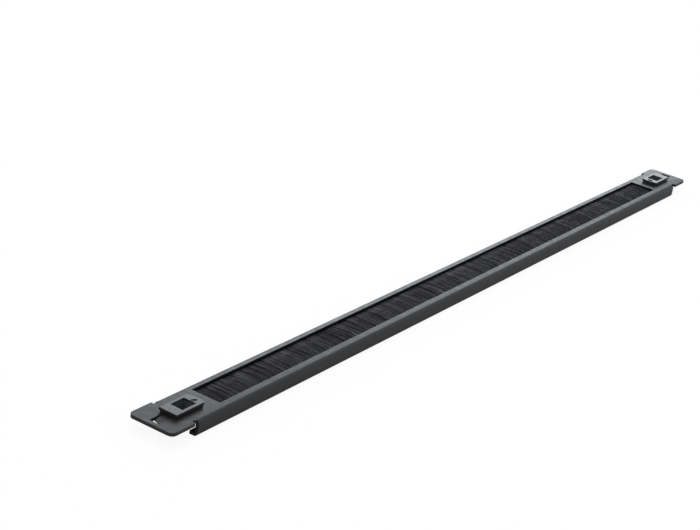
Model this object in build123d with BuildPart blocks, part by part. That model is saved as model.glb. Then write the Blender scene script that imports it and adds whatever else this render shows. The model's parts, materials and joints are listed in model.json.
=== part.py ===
"""Half-unit rack brush strip panel: a folded steel sheet with a brush behind its window and a clip at
each end.

Millimetres. X runs along the panel, Y across it, and Z up to the front face. The panel lies front face
up on the outer faces of its two return lips, which are at Z = 0, and the origin is at its middle there.
"""

import os

from build123d import *
from build123d import SkipClean

# Folded sheet
overall_length = 482.6
panel_width = 22.0
depth = 7.0
sheet = 1.5
bend_inner = 0.3
lip_width = 4.0
ear_length = 16.3
ear_corner = 2.5
relief_width = 2.4
relief_past_bend = 0.1

# Window for the cables, set in from the ear ends and from the long edges; the strip that hides the
# brush holder is the wider one
window_margin = 35.0
holder_strip = 4.4
plain_strip = 3.4
window_corner = 0.4

# Small round holes in the lip under the brush holder
hole_count = 5
hole_radius = 0.75
hole_inset = 17.9
hole_from_side = 2.7

# Keyhole for each clip: a wide part that the clip fills and a narrow slot that runs on towards the ear end
clip_from_end = 18.6
keyhole_play = 0.3
keyhole_side_play = 0.15
slot_from_end = 2.3
slot_width = 4.6

# Brush: holder, core wire and bristles
brush_overlap = 3.2
holder_sheet = 0.4
holder_depth = 2.2
holder_foot = 0.8
holder_mouth = 1.6
crimp_bend = 0.4
wire_radius = 0.35
wire_gap = 0.05
root_radius = 0.85
root_gap = 0.05
curtain_gap = 0.3
curtain_thickness = 1.7
ridge_pitch = 1.75
ridge_depth = 0.28
tip_gap = 0.6
parting_width = 0.16
parting_from_holder = 2.0
ridges_per_tuft = 2

# Clip: bezel, collar, body, guide, block and spring tongue
body_length = 14.8
body_width = 7.4
body_draft = 0.3
bezel_stand = 0.9
bezel_thickness = 1.0
bezel_width = 9.1
bezel_inner_reach = 9.1
bezel_outer_reach = 8.3
bezel_bulge = 0.9
bezel_corner = 0.6
bezel_edge = 0.2
collar_width = 8.2
collar_inner_setback = 0.2
collar_outer_setback = 0.5
pocket_length = 8.6
pocket_width = 6.2
pocket_offset = 1.2
pocket_depth = 5.3
arrow_length = 2.1
arrow_width = 2.8
arrow_height = 0.35
arrow_from_bow = 1.9
guide_width = 4.2
guide_thickness = 1.3
guide_tip = 0.5
guide_gap = 1.8
guide_slant = 1.2
guide_root = 1.0
skirt = 0.8
block_length = 10.0
block_height = 4.0
block_edge = 0.4
tongue_thickness = 1.4
tongue_run = 4.8
tongue_drop = 1.4
tongue_step = 0.9
crest_length = 4.0
tongue_slit_length = 3.0
tongue_slit_width = 0.6
tongue_slit_inset = 0.5
nib_length = 3.8
nib_height = 1.0
nib_reach = 0.5
nib_gap = 0.1
nib_inset = 0.3

os.makedirs("parts", exist_ok=True)

# Levels and half sizes that the pieces share
front_face = depth
back_face = depth - sheet
half_length = overall_length / 2
half_width = panel_width / 2
flange_inner = half_width - sheet
flange_length = overall_length - 2 * ear_length
window_length = overall_length - 2 * window_margin
window_width = panel_width - holder_strip - plain_strip
window_y = (holder_strip - plain_strip) / 2
hole_pitch = (window_length - 2 * hole_inset) / (hole_count - 1)
brush_length = window_length + 2 * brush_overlap

# Clip places along X, for the clip at the +X end
clip_x = half_length - clip_from_end
body_inner = clip_x - body_length / 2
body_outer = clip_x + body_length / 2
bezel_inner = clip_x - bezel_inner_reach
bezel_outer = clip_x + bezel_outer_reach
bezel_under = front_face + bezel_stand
bezel_top = bezel_under + bezel_thickness
pocket_x = clip_x - pocket_offset
block_outer = body_outer - body_draft
block_inner = block_outer - block_length
block_tip = back_face - block_height
crest_outer = block_inner - tongue_run
crest_inner = crest_outer - crest_length
tongue_root = block_tip + tongue_step
crest_level = tongue_root - tongue_drop
keyhole_inner = body_inner - keyhole_play
keyhole_outer = body_outer + keyhole_play
keyhole_width = body_width + 2 * keyhole_side_play


# Panel: one blank with a window, two keyholes and bend reliefs, folded into a channel with return lips
fold_radius = bend_inner + sheet / 2
flange_mid = half_width - sheet / 2
lip_mid = sheet / 2
plate_mid = depth - sheet / 2
lip_edge = half_width - lip_width
bend_outer = bend_inner + sheet
relief_depth = bend_outer + relief_past_bend
slot_outer = half_length - slot_from_end

with BuildPart() as panel:
    with BuildSketch(Plane.YZ):
        with BuildLine():
            FilletPolyline(
                (-lip_edge, lip_mid),
                (-flange_mid, lip_mid),
                (-flange_mid, plate_mid),
                (flange_mid, plate_mid),
                (flange_mid, lip_mid),
                (lip_edge, lip_mid),
                radius=fold_radius,
            )
        trace(line_width=sheet)
    extrude(amount=flange_length / 2, both=True)

    with BuildSketch(Plane.XY.offset(back_face)) as window:
        with Locations((0, window_y)):
            Rectangle(window_length, window_width)
        fillet(window.vertices(), window_corner)
    extrude(amount=sheet, mode=Mode.SUBTRACT)

    with BuildSketch(Plane.XY.offset(back_face)) as keyholes:
        for side in (-1, 1):
            with Locations((side * (keyhole_inner + keyhole_outer) / 2, 0)):
                Rectangle(keyhole_outer - keyhole_inner, keyhole_width)
            with Locations((side * (keyhole_inner + slot_outer) / 2, 0)):
                Rectangle(slot_outer - keyhole_inner, slot_width)
    extrude(amount=sheet, mode=Mode.SUBTRACT)

    with BuildSketch(Plane.XY):
        with Locations((0, hole_from_side - half_width)):
            with GridLocations(hole_pitch, 0, hole_count, 1):
                Circle(hole_radius)
    extrude(amount=sheet, mode=Mode.SUBTRACT)

    # The ears keep faces of their own, because their backs are what seats on the rails
    with BuildSketch(Plane.XY.offset(back_face)) as ears:
        Rectangle(overall_length, panel_width)
        fillet(ears.vertices(), ear_corner)
        Rectangle(flange_length, panel_width, mode=Mode.SUBTRACT)
        with GridLocations(flange_length + relief_width, panel_width, 2, 2):
            SlotOverall(2 * relief_depth, relief_width, rotation=90, mode=Mode.SUBTRACT)
        add(keyholes.sketch, mode=Mode.SUBTRACT)
    with SkipClean():
        extrude(amount=sheet, clean=False)
panel.part.label = "panel"
export_step(panel.part, "parts/panel.step")


# Brush holder: a thin strip folded to a J, its straight leg on the plate and its other leg crimped up
# to the mouth, filling the space between the plate and the lip
holder_bend = bend_inner + holder_sheet / 2
holder_top = back_face - holder_sheet / 2
holder_back = holder_sheet / 2 - flange_inner
holder_bottom = sheet + holder_sheet / 2
mouth_edge = holder_depth - flange_inner
mouth_bottom = holder_top - holder_mouth - holder_sheet

with BuildPart() as brush_holder:
    with BuildSketch(Plane.YZ):
        with BuildLine():
            FilletPolyline(
                (mouth_edge, holder_top),
                (holder_back, holder_top),
                (holder_back, holder_bottom),
                (holder_back + holder_foot, holder_bottom),
                (mouth_edge, mouth_bottom),
                radius=(holder_bend, holder_bend, crimp_bend),
            )
        trace(line_width=holder_sheet)
    extrude(amount=brush_length / 2, both=True)
brush_holder.part.label = "brush_holder"
export_step(brush_holder.part, "parts/brush_holder.step")


# Core wire, round which the bristles are doubled
wire_y = holder_sheet + root_gap + root_radius - flange_inner
wire_z = back_face - holder_sheet - root_gap - root_radius

with BuildPart() as core_wire:
    with BuildSketch(Plane.YZ):
        with Locations((wire_y, wire_z)):
            Circle(wire_radius)
    extrude(amount=brush_length / 2, both=True)
core_wire.part.label = "core_wire"
export_step(core_wire.part, "parts/core_wire.step")


# Bristles: a rolled root in the holder and a ridged curtain across the window, parted into tufts
curtain_top = back_face - curtain_gap
curtain_bottom = curtain_top - curtain_thickness
curtain_start = mouth_edge + root_gap
tip_edge = flange_inner - tip_gap
parting_start = mouth_edge + parting_from_holder
parting_end = flange_inner
root_top = wire_z + root_radius
ridge_count = round(brush_length / ridge_pitch)
ridge_width = brush_length / ridge_count
parting_count = ridge_count // ridges_per_tuft - 1
curtain_middle = (curtain_top + curtain_bottom) / 2


def ridges(level, rise):
    """Zigzag along X, from valley to crest to valley, whose crests are at one level."""
    points = []
    for ridge in range(ridge_count):
        start = ridge * ridge_width - brush_length / 2
        points.append((start, level - rise))
        points.append((start + ridge_width / 2, level))
    points.append((brush_length / 2, level - rise))
    return points


with BuildPart() as bristles:
    with BuildSketch(Plane.XZ.offset(-curtain_start)):
        with BuildLine():
            outline = ridges(curtain_top, ridge_depth) + ridges(curtain_bottom, -ridge_depth)[::-1]
            Polyline(*outline, close=True)
        make_face()
    extrude(amount=curtain_start - tip_edge)

    with BuildSketch(Plane.XY.offset(curtain_middle)):
        with Locations((0, (parting_start + parting_end) / 2)):
            with GridLocations(ridges_per_tuft * ridge_width, 0, parting_count, 1):
                Rectangle(parting_width, parting_end - parting_start)
    extrude(amount=curtain_thickness, both=True, mode=Mode.SUBTRACT)

    with BuildSketch(Plane.YZ):
        with Locations((wire_y, wire_z)):
            Circle(root_radius)
        with BuildLine():
            Polyline(
                (wire_y, root_top),
                (curtain_start, root_top),
                (curtain_start, curtain_bottom + ridge_depth),
                (wire_y, curtain_bottom + ridge_depth),
                close=True,
            )
        make_face()
        with Locations((wire_y, wire_z)):
            Circle(wire_radius + wire_gap, mode=Mode.SUBTRACT)
    extrude(amount=brush_length / 2, both=True)
bristles.part.label = "bristles"
export_step(bristles.part, "parts/bristles.step")


# Clip: one moulding that stands through the keyhole, its bezel proud of the plate on a collar, with a
# square finger pocket, a guide that runs out in the slot, a block behind the plate and a spring tongue
# that rises from the block's foot
def straight_sides(inner, outer, width):
    """Three sides of a rectangle along X, without its inner end."""
    return [(inner, width / 2), (outer, width / 2), (outer, -width / 2), (inner, -width / 2)]


def bowed_end(inner, width):
    """Three points of the arc that closes those sides."""
    return [(inner, -width / 2), (inner - bezel_bulge, 0), (inner, width / 2)]


collar_inner = bezel_inner + collar_inner_setback
collar_outer = bezel_outer - collar_outer_setback

with BuildPart() as clip_right:
    # Body and block in side view
    with BuildSketch(Plane.XZ):
        with BuildLine():
            Polyline(
                (body_inner, bezel_under),
                (body_outer, bezel_under),
                (block_outer, block_tip),
                (block_inner, block_tip),
                (block_inner, back_face - skirt),
                (body_inner, back_face - skirt),
                close=True,
            )
        make_face()
    extrude(amount=body_width / 2, both=True)
    fillet(clip_right.edges().group_by(Axis.Z)[0], block_edge)

    # Guide that runs out in the slot to a slanted end
    with BuildSketch(Plane.XY.offset(back_face)):
        with BuildLine():
            guide_inner = block_outer - guide_root
            guide_outer = slot_outer - guide_gap
            Polyline(
                (guide_inner, guide_width / 2),
                (guide_outer - guide_slant, guide_width / 2),
                (guide_outer, -guide_width / 2),
                (guide_inner, -guide_width / 2),
                close=True,
            )
        make_face()
    extrude(amount=guide_thickness)

    # Ramp that thins the guide towards its end
    with BuildSketch(Plane.XZ):
        with BuildLine():
            Polyline(
                (collar_outer, back_face + guide_thickness),
                (guide_outer, back_face + guide_thickness),
                (guide_outer, back_face + guide_tip),
                close=True,
            )
        make_face()
    extrude(amount=guide_width, both=True, mode=Mode.SUBTRACT)

    # Collar that seats on the plate round the keyhole
    with BuildSketch(Plane.XY.offset(front_face)):
        with BuildLine():
            Polyline(*straight_sides(collar_inner, collar_outer, collar_width))
            ThreePointArc(*bowed_end(collar_inner, collar_width))
        make_face()
    extrude(amount=bezel_stand)

    # Bezel with a bowed inner end
    with BuildSketch(Plane.XY.offset(bezel_under)) as bezel:
        with BuildLine():
            Polyline(*straight_sides(bezel_inner, bezel_outer, bezel_width))
            ThreePointArc(*bowed_end(bezel_inner, bezel_width))
        make_face()
        fillet(bezel.vertices().sort_by(Axis.X)[:2], bezel_corner)
    extrude(amount=bezel_thickness)
    fillet(clip_right.faces().sort_by(Axis.Z)[-1].edges(), bezel_edge)

    # Spring tongue in side view: up the slope to a flat crest at its free end
    with BuildSketch(Plane.XZ):
        with BuildLine():
            Polyline(
                (block_inner, tongue_root),
                (crest_outer, crest_level),
                (crest_inner, crest_level),
                (crest_inner, crest_level + tongue_thickness),
                (crest_outer, crest_level + tongue_thickness),
                (block_inner, tongue_root + tongue_thickness),
                close=True,
            )
        make_face()
    extrude(amount=body_width / 2, both=True)

    # Square pocket, open at the front
    with BuildSketch(Plane.XY.offset(bezel_top)):
        with Locations((pocket_x, 0)):
            Rectangle(pocket_length, pocket_width)
    extrude(amount=-pocket_depth, mode=Mode.SUBTRACT)

    # Raised arrow head between the pocket and the inner end, which points outwards
    with BuildSketch(Plane.XY.offset(bezel_top)):
        with BuildLine():
            arrow_base = bezel_inner - bezel_bulge + arrow_from_bow
            Polyline(
                (arrow_base, arrow_width / 2),
                (arrow_base + arrow_length, 0),
                (arrow_base, -arrow_width / 2),
                close=True,
            )
        make_face()
    extrude(amount=arrow_height)

    # Slit that lets the tongue give
    with BuildSketch(Plane.XY.offset(block_tip)):
        with Locations((block_inner - tongue_slit_inset - tongue_slit_length / 2, 0)):
            SlotOverall(tongue_slit_length, tongue_slit_width)
    extrude(amount=block_height, both=True, mode=Mode.SUBTRACT)

    # Snap nibs under the plate
    nib_top = back_face - nib_gap
    with BuildSketch(Plane.YZ.offset(block_inner + nib_inset)):
        with BuildLine():
            Polyline(
                (body_width / 2, nib_top),
                (body_width / 2 + nib_reach, nib_top),
                (body_width / 2, nib_top - nib_height),
                close=True,
            )
        make_face()
        mirror(about=Plane.YZ)
    extrude(amount=nib_length)
clip_right.part.label = "clip_right"
export_step(clip_right.part, "parts/clip_right.step")

with BuildPart() as clip_left:
    mirror(clip_right.part, about=Plane.YZ)
clip_left.part.label = "clip_left"
export_step(clip_left.part, "parts/clip_left.step")
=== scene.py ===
"""Looks of the half-unit rack brush strip panel: its finishes, its bristles, a pale studio and the camera.

Metres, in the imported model's frame: X along the panel, Y across it, Z up, the origin under its middle.
"""

import json
import math
import random

import bmesh
import bpy
from mathutils import Euler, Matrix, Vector


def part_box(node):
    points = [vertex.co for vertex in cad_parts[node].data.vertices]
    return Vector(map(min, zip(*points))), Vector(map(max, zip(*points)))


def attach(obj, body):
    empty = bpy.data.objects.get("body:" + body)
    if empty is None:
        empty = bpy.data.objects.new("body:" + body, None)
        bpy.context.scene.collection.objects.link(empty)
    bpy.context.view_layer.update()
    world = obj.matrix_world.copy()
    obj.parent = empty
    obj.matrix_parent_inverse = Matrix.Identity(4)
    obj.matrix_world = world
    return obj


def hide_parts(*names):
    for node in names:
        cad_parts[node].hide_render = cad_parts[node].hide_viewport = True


MM = 0.001

# Camera, fitted to the long edges of the panel
CAMERA_PLACE = (-0.73335, -0.35950, 0.32983)
CAMERA_AIM = (-0.04288, 0.04026, 0.0070)
CAMERA_ROLL = math.radians(9.637)
CAMERA_LENS = 92.69
CAMERA_NEAREST = 0.01
SENSOR_WIDTH = 36.0

# Studio: the lens sees it white, and the panel is lit by a duller one
WHITE = (1.0, 1.0, 1.0, 1.0)
FLOOR_SIZE = 12.0
FLOOR_SEEN = 0.95
FLOOR_BOUNCE = 0.46
SHADOW_SHARE = 0.08
WORLD_TINT = (0.95, 0.97, 1.0, 1.0)
WORLD_LIGHT = 0.74

# Softboxes: what they all look at, and the name, place, width, watts and colour of each
SOFTBOX_AIM = (0.0, 0.0, 0.0)
SOFTBOXES = (
    ("sheen", (2.00, 1.10, 0.78), 1.1, 9.3, (0.86, 0.93, 1.0)),
    ("overhead", (0.0, 0.1, 2.0), 1.2, 14.0, (0.97, 0.98, 1.0)),
)

# Rays that a shader sends out to find an edge
EDGE_SAMPLES = 6

# Powder coat. Here and below, cells are counted to the metre
COAT_COLOURS = ((0.0055, 0.0058, 0.0062), (0.0078, 0.0082, 0.0087))
COAT_COLOUR_CELLS = 90.0
COAT_ROUGHNESS = (0.36, 0.46)
COAT_ROUGHNESS_CELLS = 260.0
COAT_EDGE = 0.35 * MM
PEEL_CELLS = 2600.0
PEEL_STRENGTH = 0.35
PEEL_HEIGHT = 0.02 * MM

# Crown of the plate: how much its normals turn outwards for each metre from its middle line
CROWN = 9.0

# Painted shade on the cut edge of the window's far side: the share of its colour that it keeps there, and
# its normals and place in Y
WINDOW_EDGE_PAINTED_SHADE = 0.15
WINDOW_EDGE_SOFT = 0.2 * MM
WINDOW_EDGE_NORMALS = (-0.9, -0.3)
WINDOW_EDGE_FROM = (5.0 * MM, 6.0 * MM)

# Moulded plastic
PLASTIC_COLOURS = ((0.009, 0.0093, 0.0096), (0.0125, 0.0128, 0.0133))
PLASTIC_COLOUR_CELLS = 240.0
PLASTIC_ROUGHNESS = (0.26, 0.36)
PLASTIC_ROUGHNESS_CELLS = 900.0
PLASTIC_EDGE = 0.06 * MM
PLASTIC_SHINE = 0.68
GRAIN_CELLS = 5200.0
GRAIN_STRENGTH = 0.30
GRAIN_HEIGHT = 0.012 * MM

# Nylon, whose pattern is stretched along the hairs
NYLON_STRETCH = (1.0, 0.02, 0.6)
NYLON_COLOURS = ((0.011, 0.011, 0.0131), (0.042, 0.042, 0.0488))
NYLON_COLOUR_CELLS = 2600.0
NYLON_ROUGHNESS = (0.34, 0.52)
NYLON_ROUGHNESS_CELLS = 1400.0
NYLON_SHINE = 0.25
STRAND_SHADES = (0.4, 1.75)
STRAND_CELLS = 760.0
STRAND_SPREAD = (0.38, 0.62)
# Painted light on the hairs: their colour is multiplied from the first to the second factor between these
# two places in Y
TIP_PAINTED_LIGHT = (1.0, 2.9)
TIP_PAINTED_LIGHT_SPAN = (2.5 * MM, 7.0 * MM)

# Galvanised strip
ZINC_GREYS = (0.34, 0.46)
ZINC_SPANGLE_CELLS = 420.0
ZINC_ROUGHNESS = (0.38, 0.52)
ZINC_ROUGHNESS_CELLS = 300.0

# Drawn wire, whose pattern is stretched along it
WIRE_STRETCH = (0.02, 1.0, 1.0)
WIRE_GREYS = (0.42, 0.55)
WIRE_GREY_CELLS = 3000.0
WIRE_ROUGHNESS = 0.3
WIRE_LINE_CELLS = 9000.0
WIRE_LINE_STRENGTH = 0.3
WIRE_LINE_HEIGHT = 0.01 * MM

# Hairs of the bristles
SEED = 11
HAIRS = 21000
HAIR_SECTIONS = 4
HAIR_SIDES = 3
HAIR_SPANS = 5
HAIR_RADIUS = 0.105 * MM
HAIR_TIP_RADIUS = 0.085 * MM
HAIR_ROOM = 2 * HAIR_RADIUS
HAIR_BOW = 0.12 * MM

# Hair roots, just past the wire: the lowest from the bundle's underside, the highest from the wire's middle
ROOT_ABOVE_LOW = 2.2 * HAIR_RADIUS
ROOT_ABOVE_WIRE = 0.72 * MM

# Tips of the upper hairs, which end in the window, and of the lower ones, which run on behind the sheet
FREE_SHARE = 0.45
FREE_RISE = 0.55 * MM
FREE_SPREAD = 0.5 * MM
FREE_REACH = 0.05 * MM
FREE_RAGGED = 0.25 * MM
FREE_ARCH = 0.52 * MM
FREE_STRAY = 0.02
BEHIND_RAGGED = 0.45 * MM
BEHIND_ARCH = 0.2 * MM
BEHIND_STRAY = 0.035

# Lie of the hairs along X: a sweep, clumps, and waves, each a share of WAVE_LEAN and metres to the radian
SWEEP = 1.0 * MM
SWEEP_BOW = 0.25
CLUMP_WIDTH = 2.2 * MM
CLUMP_PULL = 0.12
CLUMP_LEAN = 0.018
CLUMP_LIFT = 0.06 * MM
CLUMP_GRIP_BELOW = 0.2
WAVE_LEAN = 0.06
WAVES = ((0.55, 11.0 * MM), (0.35, 6.1 * MM), (0.25, 3.2 * MM))
END_CALM = 14.0 * MM

# Dense middle of the bundle, which lets no light fall through
CORE_LEVEL = 0.3
CORE_THICKNESS = 0.16 * MM
CORE_ROUGH = 0.07 * MM
CORE_STEP = 0.45 * MM
CORE_SHORT = 1.3 * MM

# Rolled root of the bristles
ROLL_SIDES = 24
ROLL_CLEAR_OF_WIRE = 0.03 * MM

# Finger pocket of a clip, whose inside gets painted light: paler from the upper height down to the lower, up
# to the factor given last
POCKET_MIDDLE = 221.5 * MM
POCKET_HALF_LENGTH = 4.4 * MM
POCKET_HALF_WIDTH = 3.2 * MM
POCKET_HEIGHTS = (7.4 * MM, 8.85 * MM)
POCKET_PAINTED_LIGHT = 8.0

# Cup that closes the pocket's inner end under the clip's skirt
CUP_INNER = 217.15 * MM
CUP_OUTER = 219.9 * MM
CUP_WALL = 0.5 * MM
CUP_HALF_WIDTH = 3.15 * MM
CUP_FLOOR = 3.55 * MM
CUP_FLOOR_THICKNESS = 0.3 * MM
CUP_TOP = 4.75 * MM

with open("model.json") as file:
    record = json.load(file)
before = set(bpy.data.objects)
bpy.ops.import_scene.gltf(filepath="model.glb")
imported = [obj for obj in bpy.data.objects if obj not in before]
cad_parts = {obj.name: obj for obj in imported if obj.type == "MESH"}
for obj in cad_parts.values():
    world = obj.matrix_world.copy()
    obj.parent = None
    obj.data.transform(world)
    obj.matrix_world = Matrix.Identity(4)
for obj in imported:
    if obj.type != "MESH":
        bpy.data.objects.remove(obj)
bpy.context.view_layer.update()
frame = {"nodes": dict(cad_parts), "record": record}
nodes = frame["nodes"]


def as_colour(value):
    """Four channels from a grey or from three channels."""
    if isinstance(value, (int, float)):
        return (value, value, value, 1.0)
    return (*value, 1.0)


class Finish:
    """A node material with a Principled shader, and short ways to add nodes to it."""

    def __init__(self, name):
        self.material = bpy.data.materials.new(name)
        self.material.use_nodes = True
        self.tree = self.material.node_tree
        self.shader = self.tree.nodes["Principled BSDF"]

    def feed(self, socket, value):
        """Sets a number on a socket, or links an output to it."""
        if isinstance(value, (int, float)):
            socket.default_value = value
        else:
            self.tree.links.new(value, socket)

    def set(self, name, value):
        """Feeds one of the shader's own sockets."""
        self.feed(self.shader.inputs[name], value)

    def add(self, kind, **values):
        """A new node, with its inputs set by name."""
        node = self.tree.nodes.new(kind)
        for name, value in values.items():
            node.inputs[name.replace("_", " ")].default_value = value
        return node

    def place(self, scale=(1.0, 1.0, 1.0)):
        """The surface's place in the model, in metres times scale."""
        coordinates = self.add("ShaderNodeTexCoord")
        mapping = self.add("ShaderNodeMapping", Scale=scale)
        self.feed(mapping.inputs["Vector"], coordinates.outputs["Object"])
        return mapping.outputs["Vector"]

    def noise(self, place, cells, detail=2.0):
        """A noise with that many cells to the metre."""
        node = self.add("ShaderNodeTexNoise", Scale=cells, Detail=detail)
        self.feed(node.inputs["Vector"], place)
        return node.outputs["Fac"]

    def ramp(self, value, colours, spread=(0.3, 0.7)):
        """Value spread between two colours or two greys."""
        node = self.add("ShaderNodeValToRGB")
        for element, colour, position in zip(node.color_ramp.elements, colours, spread):
            element.position = position
            element.color = as_colour(colour)
        self.feed(node.inputs["Fac"], value)
        return node.outputs["Color"]

    def bump(self, value, strength, height, normal=None):
        """Normals of a relief that high in metres, on top of other normals where they are given."""
        node = self.add("ShaderNodeBump", Strength=strength, Distance=height)
        self.feed(node.inputs["Height"], value)
        if normal is not None:
            self.feed(node.inputs["Normal"], normal)
        return node.outputs["Normal"]

    def soft_edges(self, radius):
        """Normals that turn over sharp edges with that radius."""
        node = self.add("ShaderNodeBevel", Radius=radius)
        node.samples = EDGE_SAMPLES
        return node.outputs["Normal"]

    def work_out(self, kind, operation, values):
        """The result of a Math or VectorMath node on outputs or plain numbers."""
        node = self.add(kind)
        node.operation = operation
        for socket, value in zip(node.inputs, values):
            self.feed(socket, value)
        return node.outputs[0]

    def maths(self, operation, *values):
        return self.work_out("ShaderNodeMath", operation, values)

    def vector_maths(self, operation, *values):
        return self.work_out("ShaderNodeVectorMath", operation, values)

    def apart(self, vector):
        """The X, Y and Z of a vector output."""
        node = self.add("ShaderNodeSeparateXYZ")
        self.feed(node.inputs["Vector"], vector)
        return node.outputs

    def between(self, value, source, target):
        """Value taken from the range source to the range target, and held at the ends of both."""
        limits = {"From_Min": source[0], "From_Max": source[1], "To_Min": target[0], "To_Max": target[1]}
        node = self.add("ShaderNodeMapRange", **limits)
        self.feed(node.inputs["Value"], value)
        return node.outputs["Result"]

    def crown(self, normal, strength):
        """Normals of a sheet that is crowned across Y: turned outwards by strength times y."""
        turn = self.maths("MULTIPLY", self.apart(self.place())["Y"], strength)
        turn = self.maths("MULTIPLY", turn, self.apart(normal)["Z"])
        sideways = self.add("ShaderNodeCombineXYZ")
        self.feed(sideways.inputs["Y"], turn)
        turned = self.vector_maths("ADD", normal, sideways.outputs["Vector"])
        return self.vector_maths("NORMALIZE", turned)


def powder_coat():
    """Semi-matt black powder coat: a fine orange peel and slow changes of gloss."""
    finish = Finish("powder_coat")
    place = finish.place()
    coat = finish.ramp(finish.noise(place, COAT_COLOUR_CELLS), COAT_COLOURS)
    # The cut edge of the window's far side gets painted shade
    finish.set("Base Color", finish.vector_maths("MULTIPLY", coat, window_edge_painted_shade(finish)))
    gloss = finish.noise(place, COAT_ROUGHNESS_CELLS, detail=4.0)
    finish.set("Roughness", finish.ramp(gloss, COAT_ROUGHNESS))
    crowned = finish.crown(finish.soft_edges(COAT_EDGE), CROWN)
    peel = finish.noise(place, PEEL_CELLS, detail=3.0)
    finish.set("Normal", finish.bump(peel, PEEL_STRENGTH, PEEL_HEIGHT, crowned))
    return finish.material


def window_edge_painted_shade(finish):
    """1 all over the sheet, and low as painted shade where it faces back from beyond the window, as its far
    cut edge does.
    """
    facing = finish.apart(finish.soft_edges(WINDOW_EDGE_SOFT))["Y"]
    cut = finish.between(facing, WINDOW_EDGE_NORMALS, (WINDOW_EDGE_PAINTED_SHADE, 1.0))
    near = finish.between(finish.apart(finish.place())["Y"], WINDOW_EDGE_FROM, (1.0, 0.0))
    return finish.maths("MAXIMUM", cut, near)


def moulded_plastic():
    """Satin black plastic with the fine grain of a sparked mould."""
    finish = Finish("moulded_plastic")
    place = finish.place()
    shade = finish.ramp(finish.noise(place, PLASTIC_COLOUR_CELLS), PLASTIC_COLOURS)
    # The inside of the finger pocket is painted lighter, as painted light
    finish.set("Base Color", finish.vector_maths("MULTIPLY", shade, pocket_painted_light(finish)))
    gloss = finish.noise(place, PLASTIC_ROUGHNESS_CELLS, detail=3.0)
    finish.set("Roughness", finish.ramp(gloss, PLASTIC_ROUGHNESS))
    grain = finish.noise(place, GRAIN_CELLS)
    finish.set("Normal", finish.bump(grain, GRAIN_STRENGTH, GRAIN_HEIGHT, finish.soft_edges(PLASTIC_EDGE)))
    finish.set("Specular IOR Level", PLASTIC_SHINE)
    return finish.material


def pocket_painted_light(finish):
    """1 all over the clip, and high down in its finger pocket, where it paints light."""
    place = finish.apart(finish.place())
    from_middle = finish.maths("SUBTRACT", finish.maths("ABSOLUTE", place["X"]), POCKET_MIDDLE)
    along = finish.maths("LESS_THAN", finish.maths("ABSOLUTE", from_middle), POCKET_HALF_LENGTH)
    across = finish.maths("LESS_THAN", finish.maths("ABSOLUTE", place["Y"]), POCKET_HALF_WIDTH)
    inside = finish.maths("MULTIPLY", along, across)
    deep = finish.between(place["Z"], POCKET_HEIGHTS, (POCKET_PAINTED_LIGHT - 1.0, 0.0))
    return finish.maths("MULTIPLY_ADD", inside, deep, 1.0)


def nylon_bristle():
    """Black nylon hair: each a little darker or lighter than the next, and painted lighter towards its tip
    as painted light.
    """
    finish = Finish("nylon_bristle")
    across = finish.place(scale=NYLON_STRETCH)
    shade = finish.ramp(finish.noise(across, NYLON_COLOUR_CELLS, detail=3.0), NYLON_COLOURS)
    strand = finish.ramp(finish.noise(across, STRAND_CELLS), STRAND_SHADES, STRAND_SPREAD)
    shade = finish.vector_maths("MULTIPLY", shade, strand)
    # Painted light: paler towards the tips
    painted_tip_light = finish.between(finish.apart(finish.place())["Y"], TIP_PAINTED_LIGHT_SPAN, TIP_PAINTED_LIGHT)
    finish.set("Base Color", finish.vector_maths("MULTIPLY", shade, painted_tip_light))
    finish.set("Roughness", finish.ramp(finish.noise(across, NYLON_ROUGHNESS_CELLS), NYLON_ROUGHNESS))
    finish.set("Specular IOR Level", NYLON_SHINE)
    return finish.material


def galvanised_steel():
    """Dull zinc with faint spangles."""
    finish = Finish("galvanised_steel")
    place = finish.place()
    finish.set("Metallic", 1.0)
    finish.set("Base Color", finish.ramp(finish.noise(place, ZINC_SPANGLE_CELLS, detail=1.0), ZINC_GREYS))
    finish.set("Roughness", finish.ramp(finish.noise(place, ZINC_ROUGHNESS_CELLS), ZINC_ROUGHNESS))
    return finish.material


def drawn_wire():
    """Steel wire with drawing lines along it."""
    finish = Finish("drawn_wire")
    along = finish.place(scale=WIRE_STRETCH)
    finish.set("Metallic", 1.0)
    finish.set("Base Color", finish.ramp(finish.noise(along, WIRE_GREY_CELLS), WIRE_GREYS))
    finish.set("Roughness", WIRE_ROUGHNESS)
    lines = finish.noise(along, WIRE_LINE_CELLS)
    finish.set("Normal", finish.bump(lines, WIRE_LINE_STRENGTH, WIRE_LINE_HEIGHT))
    return finish.material


def set_material(piece, material):
    piece.data.materials.clear()
    piece.data.materials.append(material)


def new_mesh(name, points, faces, material):
    mesh = bpy.data.meshes.new(name)
    mesh.from_pydata(points, [], faces)
    mesh.update()
    piece = bpy.data.objects.new(name, mesh)
    bpy.context.scene.collection.objects.link(piece)
    set_material(piece, material)
    return piece


def finish_bristle_piece(piece):
    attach(piece, "root")
    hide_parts("bristles")


def held(value, low, high):
    return min(max(value, low), high)


def smooth_step(value):
    """0 below 0, 1 above 1, and a soft rise between them."""
    value = held(value, 0.0, 1.0)
    return value * value * (3.0 - 2.0 * value)


def lean_along(x, waves):
    """How far the bristles lean at x: a few slow waves."""
    return sum(size * math.sin(x / length + phase) for size, length, phase in waves)


def window_box():
    """Lowest and highest corner of the clear way through the window."""
    for opening in frame["record"]["physics"]["openings"]:
        if opening["name"] == "window_front":
            low, high = opening["box_m"]
            return Vector(low), Vector(high)
    raise ValueError("the record has no window_front")


def add_ring(points, centre, radius, turn):
    """Adds one cross-section of a hair, square to Y."""
    for side in range(HAIR_SIDES):
        angle = turn + side * math.tau / HAIR_SIDES
        points.append(centre + Vector((radius * math.cos(angle), 0.0, radius * math.sin(angle))))


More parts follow.
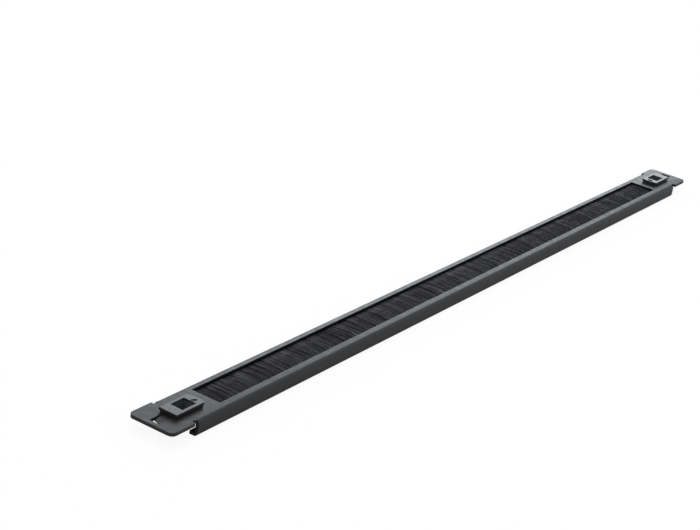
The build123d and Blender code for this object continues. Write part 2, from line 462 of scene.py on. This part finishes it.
def tube_faces(first, rings, sides):
    """Faces of a closed tube, whose rings of points follow each other from the point first on."""
    faces = []
    for ring in range(rings - 1):
        for side in range(sides):
            a = first + ring * sides + side
            b = first + ring * sides + (side + 1) % sides
            faces.append((a, a + sides, b + sides, b))
    last = first + (rings - 1) * sides
    faces.append(tuple(range(last + sides - 1, last - 1, -1)))
    faces.append(tuple(range(first, first + sides)))
    return faces


def add_hair(points, faces, root, tip, bow, turn):
    """Adds one hair from root to tip, bowed and tapered."""
    faces.extend(tube_faces(len(points), HAIR_SPANS + 1, HAIR_SIDES))
    for span in range(HAIR_SPANS + 1):
        share = span / HAIR_SPANS
        centre = root.lerp(tip, share) + bow * math.sin(math.pi * share)
        radius = HAIR_RADIUS + (HAIR_TIP_RADIUS - HAIR_RADIUS) * share
        add_ring(points, centre, radius, turn)


def make_bristles(material):
    """The bristle curtain: hairs in sections along the panel, their rolled root and their dense middle.

    The hairs leave the holder's mouth in one bundle. The upper ones end in the window, where they rise to
    about half a millimetre above the back of the sheet, and the lower ones run on behind the sheet.
    """
    draw = random.Random(SEED)
    low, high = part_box("bristles")
    wire_low, wire_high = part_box("core_wire")
    window_low, window_high = window_box()
    waves = [(WAVE_LEAN * share, length, draw.uniform(0, math.tau)) for share, length in WAVES]
    root_y = wire_high.y + HAIR_ROOM
    root_low = low.z + ROOT_ABOVE_LOW
    root_high = (wire_low.z + wire_high.z) / 2 + ROOT_ABOVE_WIRE
    fan_low = low.z + HAIR_RADIUS
    fan_high = high.z - HAIR_RADIUS
    free_high = high.z + FREE_RISE
    behind_ends = (low.x + HAIR_ROOM, high.x - HAIR_ROOM)
    window_ends = (window_low.x + HAIR_ROOM, window_high.x - HAIR_ROOM)
    clump_count = round((high.x - low.x) / CLUMP_WIDTH)
    clump_leans = [draw.gauss(0, CLUMP_LEAN) for _ in range(clump_count)]
    clump_lifts = [draw.uniform(-CLUMP_LIFT, CLUMP_LIFT) for _ in range(clump_count)]
    bundles = [([], []) for _ in range(HAIR_SECTIONS)]
    for hair in range(HAIRS):
        share = (hair + draw.random()) / HAIRS
        x = low.x + HAIR_ROOM + share * (high.x - low.x - 2 * HAIR_ROOM)
        clump = min(int(share * clump_count), clump_count - 1)
        clump_middle = low.x + (clump + 0.5) * CLUMP_WIDTH
        calm = smooth_step(min(x - low.x, high.x - x) / END_CALM)
        level = draw.random()
        ragged = draw.random() ** 2
        if level > 1 - FREE_SHARE and window_ends[0] < x < window_ends[1]:
            tip_y = window_high.y + FREE_REACH - ragged * FREE_RAGGED
            tip_z = free_high - (1 - level) / FREE_SHARE * FREE_SPREAD + clump_lifts[clump]
            ends, arch, grip, stray = window_ends, FREE_ARCH, 1.0, FREE_STRAY
        else:
            tip_y = high.y - ragged * BEHIND_RAGGED
            tip_z = fan_low + level * (fan_high - fan_low)
            ends, arch, grip, stray = behind_ends, BEHIND_ARCH, CLUMP_GRIP_BELOW, BEHIND_STRAY
        sweep = SWEEP * calm
        lean = (lean_along(x, waves) + clump_leans[clump] * grip + draw.gauss(0, stray)) * calm
        pull = (clump_middle - x) * CLUMP_PULL * grip * calm
        tip_x = held(x + lean * (tip_y - root_y) + pull - sweep, *ends)
        root = Vector((x, root_y, root_low + level * (root_high - root_low)))
        tip = Vector((tip_x, tip_y, tip_z))
        bow = Vector((draw.gauss(0, HAIR_BOW) + sweep * SWEEP_BOW, 0.0, arch * level))
        points, faces = bundles[min(int(share * HAIR_SECTIONS), HAIR_SECTIONS - 1)]
        add_hair(points, faces, root, tip, bow, draw.uniform(0, math.tau))
    for section, (points, faces) in enumerate(bundles, start=1):
        piece = new_mesh(f"bristle_hairs_{section}", points, faces, material)
        piece.data.polygons.foreach_set("use_smooth", [True] * len(faces))
        finish_bristle_piece(piece)
    make_bristle_root(material, low, high, wire_low, wire_high)
    core_root = Vector((0.0, root_y, root_low + CORE_LEVEL * (root_high - root_low)))
    core_tip = Vector((0.0, high.y - CORE_SHORT, fan_low + CORE_LEVEL * (fan_high - fan_low)))
    make_bristle_core(material, draw, behind_ends, core_root, core_tip)


def make_bristle_core(material, draw, ends, root, tip):
    """The dense middle of the bundle: a thin uneven sheet of hair from root to tip."""
    steps = round((ends[1] - ends[0]) / CORE_STEP)
    section = ((root, 1), (tip, 1), (tip, -1), (root, -1))
    points = []
    for step in range(steps + 1):
        x = ends[0] + (ends[1] - ends[0]) * step / steps
        lift = draw.uniform(-CORE_ROUGH, CORE_ROUGH)
        for end, side in section:
            points.append((x, end.y, end.z + lift + side * CORE_THICKNESS / 2))
    faces = tube_faces(0, steps + 1, len(section))
    finish_bristle_piece(new_mesh("bristle_core", points, faces, material))


def make_bristle_root(material, low, high, wire_low, wire_high):
    """The rolled root of the bristles, doubled round the core wire inside the holder."""
    centre_y = (wire_low.y + wire_high.y) / 2
    centre_z = (wire_low.z + wire_high.z) / 2
    inner = (wire_high.y - wire_low.y) / 2 + ROLL_CLEAR_OF_WIRE
    outer = centre_y - low.y
    rings = [(low.x, inner), (low.x, outer), (high.x, outer), (high.x, inner)]
    points = []
    faces = []
    for x, radius in rings:
        for side in range(ROLL_SIDES):
            angle = side * math.tau / ROLL_SIDES
            points.append((x, centre_y + radius * math.cos(angle), centre_z + radius * math.sin(angle)))
    for ring in range(len(rings)):
        first = ring * ROLL_SIDES
        second = (ring + 1) % len(rings) * ROLL_SIDES
        for side in range(ROLL_SIDES):
            following = (side + 1) % ROLL_SIDES
            faces.append((first + side, first + following, second + following, second + side))
    finish_bristle_piece(new_mesh("bristle_root", points, faces, material))


def cup_outline(back, half_width):
    """Corners of a cup's wall as seen from above, from its open end round its back."""
    return [(CUP_OUTER, -half_width), (back, -half_width), (back, half_width), (CUP_OUTER, half_width)]


def make_pocket_cup(name, side, material):
    """The cup under the inner end of a clip's finger pocket, open towards the clip's block."""
    outer = cup_outline(CUP_INNER - CUP_WALL, CUP_HALF_WIDTH + CUP_WALL)
    inner = cup_outline(CUP_INNER, CUP_HALF_WIDTH)
    foot = CUP_FLOOR - CUP_FLOOR_THICKNESS
    loops = [(outer, foot), (outer, CUP_TOP), (inner, CUP_TOP), (inner, CUP_FLOOR)]
    points = [(side * x, y, z) for loop, z in loops for x, y in loop]
    underside = (0, 1, 2, 3)
    floor = (12, 13, 14, 15)
    open_end = (0, 4, 8, 12, 15, 11, 7, 3)
    faces = [underside, floor, open_end]
    for level in (0, 4, 8):
        for corner in range(3):
            a = level + corner
            faces.append((a, a + 1, a + 5, a + 4))
    piece = new_mesh(name, points, faces, material)
    shell = bmesh.new()
    shell.from_mesh(piece.data)
    bmesh.ops.recalc_face_normals(shell, faces=shell.faces)
    shell.to_mesh(piece.data)
    shell.free()
    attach(piece, "root")


def mix_shaders(tree, share, first, second):
    """First where share is 0, second where it is 1."""
    mix = tree.nodes.new("ShaderNodeMixShader")
    if isinstance(share, float):
        mix.inputs["Fac"].default_value = share
    else:
        tree.links.new(share, mix.inputs["Fac"])
    tree.links.new(first, mix.inputs[1])
    tree.links.new(second, mix.inputs[2])
    return mix.outputs[0]


def seen_by_lens(tree, unseen, seen):
    """One shader for the rays that come straight from the lens, and another for all others."""
    path = tree.nodes.new("ShaderNodeLightPath")
    return mix_shaders(tree, path.outputs["Is Camera Ray"], unseen, seen)


def white_light(tree, kind):
    """An Emission or a Background node that renders as plain white."""
    node = tree.nodes.new(kind)
    node.inputs["Color"].default_value = WHITE
    node.inputs["Strength"].default_value = 1.0
    return node.outputs[0]


def diffuse(tree, grey):
    node = tree.nodes.new("ShaderNodeBsdfDiffuse")
    node.inputs["Color"].default_value = as_colour(grey)
    return node.outputs[0]


def make_floor():
    """A wide pale floor: the lens sees it white with a faint shadow, and a duller one lights the panel."""
    half = FLOOR_SIZE / 2
    corners = [(-half, -half, 0.0), (half, -half, 0.0), (half, half, 0.0), (-half, half, 0.0)]
    material = bpy.data.materials.new("studio_floor")
    material.use_nodes = True
    tree = material.node_tree
    tree.nodes.remove(tree.nodes["Principled BSDF"])
    white = white_light(tree, "ShaderNodeEmission")
    seen = mix_shaders(tree, SHADOW_SHARE, white, diffuse(tree, FLOOR_SEEN))
    surface = seen_by_lens(tree, diffuse(tree, FLOOR_BOUNCE), seen)
    tree.links.new(surface, tree.nodes["Material Output"].inputs["Surface"])
    floor = new_mesh("studio_floor", corners, [(0, 1, 2, 3)], material)


def make_world():
    """Even pale surroundings, white where the lens sees them."""
    world = bpy.data.worlds.new("studio")
    bpy.context.scene.world = world
    world.use_nodes = True
    tree = world.node_tree
    around = tree.nodes["Background"]
    around.inputs["Color"].default_value = WORLD_TINT
    around.inputs["Strength"].default_value = WORLD_LIGHT
    surface = seen_by_lens(tree, around.outputs[0], white_light(tree, "ShaderNodeBackground"))
    tree.links.new(surface, tree.nodes["World Output"].inputs["Surface"])


def turn_towards(place, aim):
    """The rotation of a lamp or a camera that stands at place and looks at aim."""
    return (Vector(aim) - Vector(place)).to_track_quat("-Z", "Y")


def add_softbox(name, place, width, watts, colour):
    """A square soft light."""
    lamp = bpy.data.lights.new(name, "AREA")
    lamp.shape = "SQUARE"
    lamp.size = width
    lamp.energy = watts
    lamp.color = colour
    box = bpy.data.objects.new(name, lamp)
    box.location = place
    box.rotation_euler = turn_towards(place, SOFTBOX_AIM).to_euler()
    bpy.context.scene.collection.objects.link(box)


def make_camera():
    lens = bpy.data.cameras.new("camera")
    lens.sensor_fit = "HORIZONTAL"
    lens.sensor_width = SENSOR_WIDTH
    lens.lens = CAMERA_LENS
    lens.clip_start = CAMERA_NEAREST
    camera = bpy.data.objects.new("camera", lens)
    camera.location = CAMERA_PLACE
    roll = Euler((0.0, 0.0, CAMERA_ROLL)).to_quaternion()
    camera.rotation_euler = (turn_towards(CAMERA_PLACE, CAMERA_AIM) @ roll).to_euler()
    bpy.context.scene.collection.objects.link(camera)
    bpy.context.scene.camera = camera


set_material(nodes["panel"], powder_coat())
plastic = moulded_plastic()
set_material(nodes["clip_left"], plastic)
set_material(nodes["clip_right"], plastic)
set_material(nodes["brush_holder"], galvanised_steel())
set_material(nodes["core_wire"], drawn_wire())
nylon = nylon_bristle()
set_material(nodes["bristles"], nylon)
make_bristles(nylon)
make_pocket_cup("pocket_cup_left", -1, plastic)
make_pocket_cup("pocket_cup_right", 1, plastic)

make_floor()
make_world()
for softbox in SOFTBOXES:
    add_softbox(*softbox)
make_camera()
bpy.context.scene.view_settings.view_transform = "Standard"
